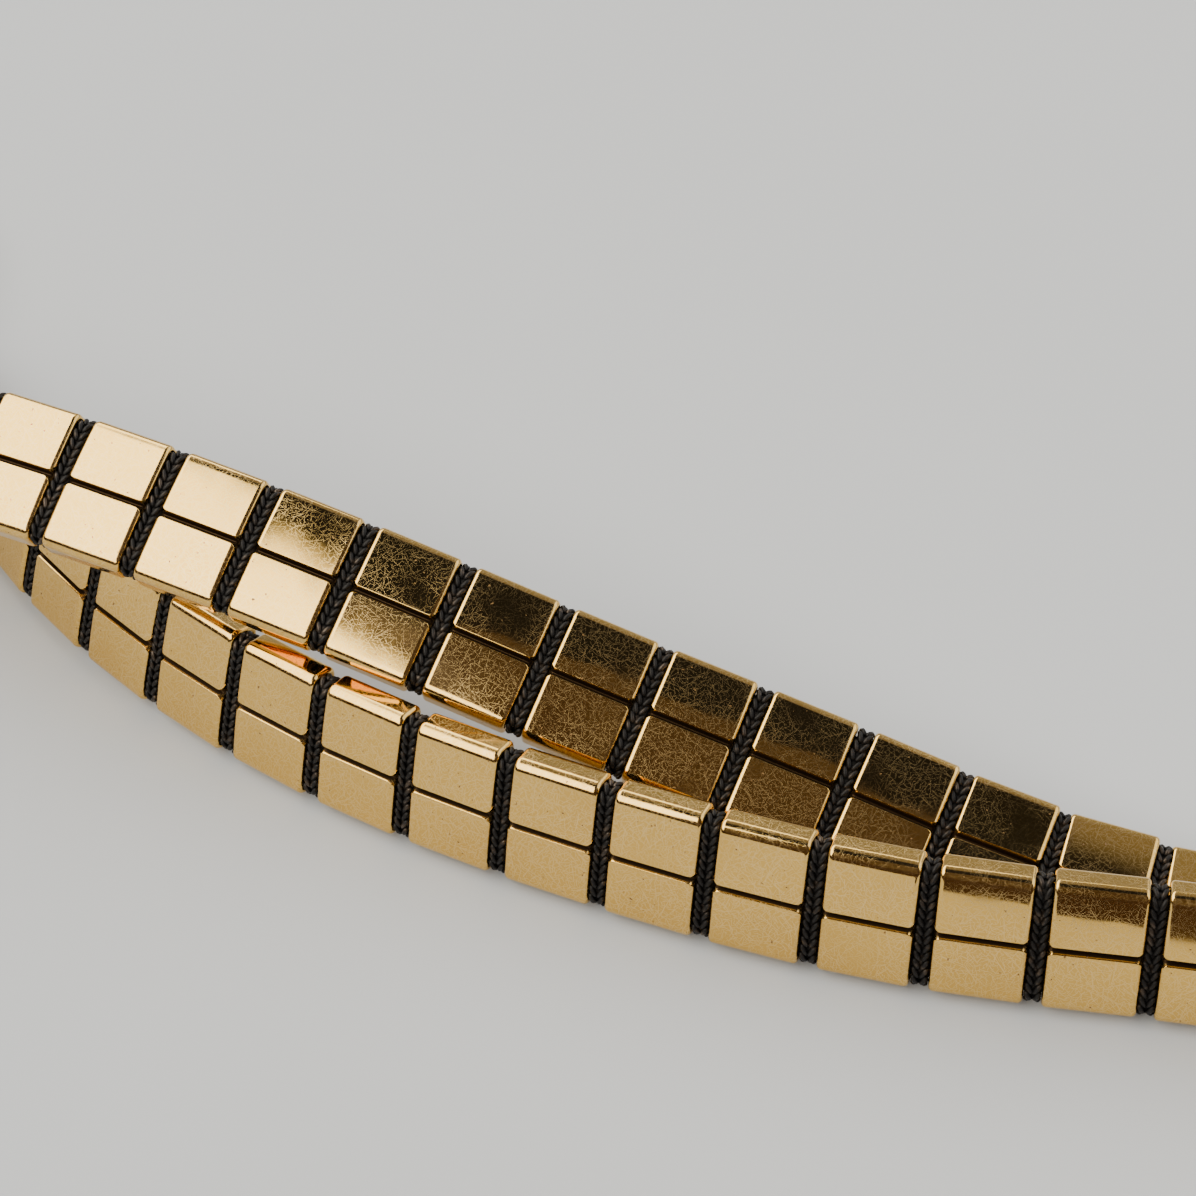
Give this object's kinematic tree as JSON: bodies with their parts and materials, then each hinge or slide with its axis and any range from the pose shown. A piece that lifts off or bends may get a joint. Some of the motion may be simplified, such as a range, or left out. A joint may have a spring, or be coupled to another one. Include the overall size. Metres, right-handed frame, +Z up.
{
  "type": "double pocket watch chain",
  "caption": "Double watch chain: flat gold clips on two dark woven ribbons, joined by a ring with a T-bar, a swivel hook at each free end.",
  "frame": {"origin": "middle of the box's bottom, on the table that the chain lies on", "axes": "+X along the two strands to the centre ring and T-bar, +Y away from the viewer's side, +Z up"},
  "size_m": [0.1082, 0.0718, 0.0107],
  "materials": {
    "gold_clip": "polished gold plate with fine hairline scratches",
    "woven_ribbon": "blackened woven wire",
    "gold_fitting": "polished gold plate",
    "spring_steel": "bright spring steel"
  },
  "bodies": {
    "root": {"centre_ring": "gold_fitting"},
    "jump_ring_a_right": {"jump_ring_a_right": "gold_fitting"},
    "end_cap_a_right": {"end_cap_a_right": "gold_fitting", "ribbon_a": "woven_ribbon"},
    "clip_a15": {"clip_a15": "gold_clip"},
    "clip_a14": {"clip_a14": "gold_clip"},
    "clip_a13": {"clip_a13": "gold_clip"},
    "clip_a12": {"clip_a12": "gold_clip"},
    "clip_a11": {"clip_a11": "gold_clip"},
    "clip_a10": {"clip_a10": "gold_clip"},
    "clip_a09": {"clip_a09": "gold_clip"},
    "clip_a08": {"clip_a08": "gold_clip"},
    "clip_a07": {"clip_a07": "gold_clip"},
    "clip_a06": {"clip_a06": "gold_clip"},
    "clip_a05": {"clip_a05": "gold_clip"},
    "clip_a04": {"clip_a04": "gold_clip"},
    "clip_a03": {"clip_a03": "gold_clip"},
    "clip_a02": {"clip_a02": "gold_clip"},
    "clip_a01": {"clip_a01": "gold_clip"},
    "end_cap_a_left": {"end_cap_a_left": "gold_fitting"},
    "jump_ring_a_left": {"jump_ring_a_left": "gold_fitting"},
    "swivel_eye_a": {"swivel_eye_a": "gold_fitting"},
    "hook_a": {"hook_a": "gold_fitting", "gate_pin_a": "gold_fitting", "gate_spring_a": "spring_steel"},
    "gate_a": {"gate_a": "gold_fitting"},
    "jump_ring_b_right": {"jump_ring_b_right": "gold_fitting"},
    "end_cap_b_right": {"end_cap_b_right": "gold_fitting", "ribbon_b": "woven_ribbon"},
    "clip_b14": {"clip_b14": "gold_clip"},
    "clip_b13": {"clip_b13": "gold_clip"},
    "clip_b12": {"clip_b12": "gold_clip"},
    "clip_b11": {"clip_b11": "gold_clip"},
    "clip_b10": {"clip_b10": "gold_clip"},
    "clip_b09": {"clip_b09": "gold_clip"},
    "clip_b08": {"clip_b08": "gold_clip"},
    "clip_b07": {"clip_b07": "gold_clip"},
    "clip_b06": {"clip_b06": "gold_clip"},
    "clip_b05": {"clip_b05": "gold_clip"},
    "clip_b04": {"clip_b04": "gold_clip"},
    "clip_b03": {"clip_b03": "gold_clip"},
    "clip_b02": {"clip_b02": "gold_clip"},
    "clip_b01": {"clip_b01": "gold_clip"},
    "end_cap_b_left": {"end_cap_b_left": "gold_fitting"},
    "jump_ring_b_left": {"jump_ring_b_left": "gold_fitting"},
    "swivel_eye_b": {"swivel_eye_b": "gold_fitting"},
    "hook_b": {"hook_b": "gold_fitting", "gate_pin_b": "gold_fitting", "gate_spring_b": "spring_steel"},
    "gate_b": {"gate_b": "gold_fitting"},
    "jump_ring_bar": {"jump_ring_bar": "gold_fitting"},
    "t_bar": {"t_bar": "gold_fitting"}
  },
  "joints": [
    {"name": "gate_hinge_a", "type": "hinge", "parent": "hook_a", "child": "gate_a", "pos_m": [-0.04379, 0.01432, 0.0037], "axis": [0.2193, -0.1022, -0.9703], "range_deg": [0, 22], "deforming": ["gate_spring_a"]},
    {"name": "gate_hinge_b", "type": "hinge", "parent": "hook_b", "child": "gate_b", "pos_m": [-0.02971, 0.02413, 0.00197], "axis": [0.0317, -0.0622, -0.9976], "range_deg": [0, 22], "deforming": ["gate_spring_b"]},
    {"name": "swivel_a", "type": "hinge", "parent": "swivel_eye_a", "child": "hook_a", "pos_m": [-0.0399, 0.01416, 0.00459], "axis": [-0.8794, 0.4101, -0.2419], "continuous": true},
    {"name": "swivel_b", "type": "hinge", "parent": "swivel_eye_b", "child": "hook_b", "pos_m": [-0.0267, 0.02152, 0.00223], "axis": [-0.4529, 0.8888, -0.0698], "continuous": true},
    {"name": "eye_link_a", "type": "hinge", "parent": "jump_ring_a_left", "child": "swivel_eye_a", "pos_m": [-0.0348, 0.01178, 0.006], "axis": [-0.4141, -0.4079, 0.8138], "range_deg": [-25, 25]},
    {"name": "eye_link_b", "type": "hinge", "parent": "jump_ring_b_left", "child": "swivel_eye_b", "pos_m": [-0.02407, 0.01637, 0.00263], "axis": [-0.8572, -0.4126, 0.3083], "range_deg": [-25, 25]},
    {"name": "bail_a_right", "type": "hinge", "parent": "jump_ring_a_right", "child": "end_cap_a_right", "pos_m": [0.03594, -0.01561, 0.002], "axis": [0, 0, 1], "range_deg": [-12, 0]},
    {"name": "bail_a_left", "type": "hinge", "parent": "end_cap_a_left", "child": "jump_ring_a_left", "pos_m": [-0.03206, 0.0105, 0.00675], "axis": [-0.2659, -0.8034, -0.5327], "range_deg": [-25, 25]},
    {"name": "bail_b_right", "type": "hinge", "parent": "jump_ring_b_right", "child": "end_cap_b_right", "pos_m": [0.03467, -0.02112, 0.00299], "axis": [0, 0, 1], "range_deg": [0, 7]},
    {"name": "bail_b_left", "type": "hinge", "parent": "end_cap_b_left", "child": "jump_ring_b_left", "pos_m": [-0.02266, 0.01359, 0.00285], "axis": [-0.2478, -0.1876, -0.9505], "range_deg": [-25, 25]},
    {"name": "centre_link_a", "type": "hinge", "parent": "root", "child": "jump_ring_a_right", "pos_m": [0.03843, -0.01642, 0.00209], "axis": [0.7982, 0.5355, -0.2758], "range_deg": [0, 12]},
    {"name": "centre_link_b", "type": "hinge", "parent": "root", "child": "jump_ring_b_right", "pos_m": [0.03723, -0.02166, 0.00299], "axis": [0, 0, 1], "range_deg": [0, 6]},
    {"name": "centre_link_bar", "type": "hinge", "parent": "root", "child": "jump_ring_bar", "pos_m": [0.04495, -0.02069, 0.0025], "axis": [0.1989, 0.9357, -0.2914], "range_deg": [-6, 15]},
    {"name": "bar_link", "type": "hinge", "parent": "jump_ring_bar", "child": "t_bar", "pos_m": [0.04752, -0.02123, 0.00145], "axis": [-0.2079, -0.9781, 0], "range_deg": [-10, 4]},
    {"name": "gap_a15", "type": "hinge", "parent": "end_cap_a_right", "child": "clip_a15", "pos_m": [0.03058, -0.01476, 0.00124], "axis": [-0.2418, -0.9668, -0.0826], "range_deg": [-8, 0], "deforming": ["ribbon_a"]},
    {"name": "gap_a14", "type": "hinge", "parent": "clip_a15", "child": "clip_a14", "pos_m": [0.02651, -0.01376, 0.0014], "axis": [0.2705, 0.9485, 0.1646], "range_deg": [0, 12], "deforming": ["ribbon_a"]},
    {"name": "gap_a13", "type": "hinge", "parent": "clip_a14", "child": "clip_a13", "pos_m": [0.0225, -0.01258, 0.00182], "axis": [-0.3374, -0.8924, -0.2996], "range_deg": [-12, 0], "deforming": ["ribbon_a"]},
    {"name": "gap_a12", "type": "hinge", "parent": "clip_a13", "child": "clip_a12", "pos_m": [0.01861, -0.01115, 0.00249], "axis": [0.3923, 0.8255, 0.4058], "range_deg": [0, 12], "deforming": ["ribbon_a"]},
    {"name": "gap_a11", "type": "hinge", "parent": "clip_a12", "child": "clip_a11", "pos_m": [0.01477, -0.00964, 0.00329], "axis": [-0.4001, -0.7876, -0.4687], "range_deg": [-12, 0], "deforming": ["ribbon_a"]},
    {"name": "gap_a10", "type": "hinge", "parent": "clip_a11", "child": "clip_a10", "pos_m": [0.01091, -0.0082, 0.00411], "axis": [0.3898, 0.7817, 0.4868], "range_deg": [0, 12], "deforming": ["ribbon_a"]},
    {"name": "gap_a09", "type": "hinge", "parent": "clip_a10", "child": "clip_a09", "pos_m": [0.00704, -0.00683, 0.00497], "axis": [-0.3907, -0.7758, -0.4955], "range_deg": [-12, 0], "deforming": ["ribbon_a"]},
    {"name": "gap_a08", "type": "hinge", "parent": "clip_a09", "child": "clip_a08", "pos_m": [0.00318, -0.00544, 0.00588], "axis": [0.3983, 0.7676, 0.5022], "range_deg": [0, 12], "deforming": ["ribbon_a"]},
    {"name": "gap_a07", "type": "hinge", "parent": "clip_a08", "child": "clip_a07", "pos_m": [-0.00067, -0.00401, 0.00678], "axis": [-0.4024, -0.758, -0.5133], "range_deg": [-12, 0], "deforming": ["ribbon_a"]},
    {"name": "gap_a06", "type": "hinge", "parent": "clip_a07", "child": "clip_a06", "pos_m": [-0.00451, -0.00249, 0.00755], "axis": [0.401, 0.7527, 0.5222], "range_deg": [0, 12], "deforming": ["ribbon_a"]},
    {"name": "gap_a05", "type": "hinge", "parent": "clip_a06", "child": "clip_a05", "pos_m": [-0.00833, -0.00086, 0.00812], "axis": [-0.3949, -0.7529, -0.5265], "range_deg": [-12, 0], "deforming": ["ribbon_a"]},
    {"name": "gap_a04", "type": "hinge", "parent": "clip_a05", "child": "clip_a04", "pos_m": [-0.01215, 0.00086, 0.00848], "axis": [0.385, 0.7565, 0.5288], "range_deg": [0, 12], "deforming": ["ribbon_a"]},
    {"name": "gap_a03", "type": "hinge", "parent": "clip_a04", "child": "clip_a03", "pos_m": [-0.01594, 0.00265, 0.00864], "axis": [-0.3712, -0.7622, -0.5303], "range_deg": [-12, 0], "deforming": ["ribbon_a"]},
    {"name": "gap_a02", "type": "hinge", "parent": "clip_a03", "child": "clip_a02", "pos_m": [-0.01973, 0.00447, 0.00861], "axis": [0.3526, 0.7686, 0.5339], "range_deg": [0, 12], "deforming": ["ribbon_a"]},
    {"name": "gap_a01", "type": "hinge", "parent": "clip_a02", "child": "clip_a01", "pos_m": [-0.0235, 0.00631, 0.00836], "axis": [-0.3287, -0.776, -0.5384], "range_deg": [-12, 0], "deforming": ["ribbon_a"]},
    {"name": "gap_a00", "type": "hinge", "parent": "clip_a01", "child": "end_cap_a_left", "pos_m": [-0.02724, 0.00815, 0.00789], "axis": [0.3155, 0.7802, 0.5401], "range_deg": [0, 12], "deforming": ["ribbon_a"]},
    {"name": "gap_b14", "type": "hinge", "parent": "end_cap_b_right", "child": "clip_b14", "pos_m": [0.03008, -0.01813, 0.00299], "axis": [0.0436, 0.2556, 0.9658], "range_deg": [0, 2], "deforming": ["ribbon_b"]},
    {"name": "gap_b13", "type": "hinge", "parent": "clip_b14", "child": "clip_b13", "pos_m": [0.02594, -0.01743, 0.00299], "axis": [-0.0399, -0.2452, -0.9686], "range_deg": [-2, 0], "deforming": ["ribbon_b"]},
    {"name": "gap_b12", "type": "hinge", "parent": "clip_b13", "child": "clip_b12", "pos_m": [0.02178, -0.01679, 0.00299], "axis": [0.0378, 0.2228, 0.9741], "range_deg": [0, 3], "deforming": ["ribbon_b"]},
    {"name": "gap_b11", "type": "hinge", "parent": "clip_b12", "child": "clip_b11", "pos_m": [0.01766, -0.01602, 0.00299], "axis": [-0.0468, -0.2058, -0.9775], "range_deg": [-4, 0], "deforming": ["ribbon_b"]},
    {"name": "gap_b10", "type": "hinge", "parent": "clip_b11", "child": "clip_b10", "pos_m": [0.0136, -0.01492, 0.00299], "axis": [0.0616, 0.1985, 0.9782], "range_deg": [0, 4], "deforming": ["ribbon_b"]},
    {"name": "gap_b09", "type": "hinge", "parent": "clip_b10", "child": "clip_b09", "pos_m": [0.00964, -0.01354, 0.00299], "axis": [-0.0738, -0.1943, -0.9782], "range_deg": [-5, 0], "deforming": ["ribbon_b"]},
    {"name": "gap_b08", "type": "hinge", "parent": "clip_b09", "child": "clip_b08", "pos_m": [0.00575, -0.01194, 0.00299], "axis": [0.0825, 0.1915, 0.978], "range_deg": [0, 6], "deforming": ["ribbon_b"]},
    {"name": "gap_b07", "type": "hinge", "parent": "clip_b08", "child": "clip_b07", "pos_m": [0.00193, -0.0102, 0.00299], "axis": [-0.0927, -0.1915, -0.9771], "range_deg": [-7, 0], "deforming": ["ribbon_b"]},
    {"name": "gap_b06", "type": "hinge", "parent": "clip_b07", "child": "clip_b06", "pos_m": [-0.00179, -0.00826, 0.00298], "axis": [0.1081, 0.1916, 0.9755], "range_deg": [0, 8], "deforming": ["ribbon_b"]},
    {"name": "gap_b05", "type": "hinge", "parent": "clip_b06", "child": "clip_b05", "pos_m": [-0.00538, -0.00609, 0.00299], "axis": [-0.1274, -0.1876, -0.974], "range_deg": [-11, 0], "deforming": ["ribbon_b"]},
    {"name": "gap_b04", "type": "hinge", "parent": "clip_b05", "child": "clip_b04", "pos_m": [-0.00878, -0.00362, 0.003], "axis": [0.1556, 0.1893, 0.9695], "range_deg": [0, 12], "deforming": ["ribbon_b"]},
    {"name": "gap_b03", "type": "hinge", "parent": "clip_b04", "child": "clip_b03", "pos_m": [-0.01196, -0.00088, 0.00302], "axis": [-0.191, -0.1959, -0.9618], "range_deg": [-12, 0], "deforming": ["ribbon_b"]},
    {"name": "gap_b02", "type": "hinge", "parent": "clip_b03", "child": "clip_b02", "pos_m": [-0.01489, 0.00213, 0.00304], "axis": [0.2194, 0.191, 0.9568], "range_deg": [0, 12], "deforming": ["ribbon_b"]},
    {"name": "gap_b01", "type": "hinge", "parent": "clip_b02", "child": "clip_b01", "pos_m": [-0.01753, 0.00539, 0.00305], "axis": [-0.2428, -0.1771, -0.9538], "range_deg": [-12, 0], "deforming": ["ribbon_b"]},
    {"name": "gap_b00", "type": "hinge", "parent": "clip_b01", "child": "end_cap_b_left", "pos_m": [-0.01984, 0.0089, 0.00304], "axis": [0.2553, 0.1698, 0.9518], "range_deg": [0, 12], "deforming": ["ribbon_b"]}
  ]
}
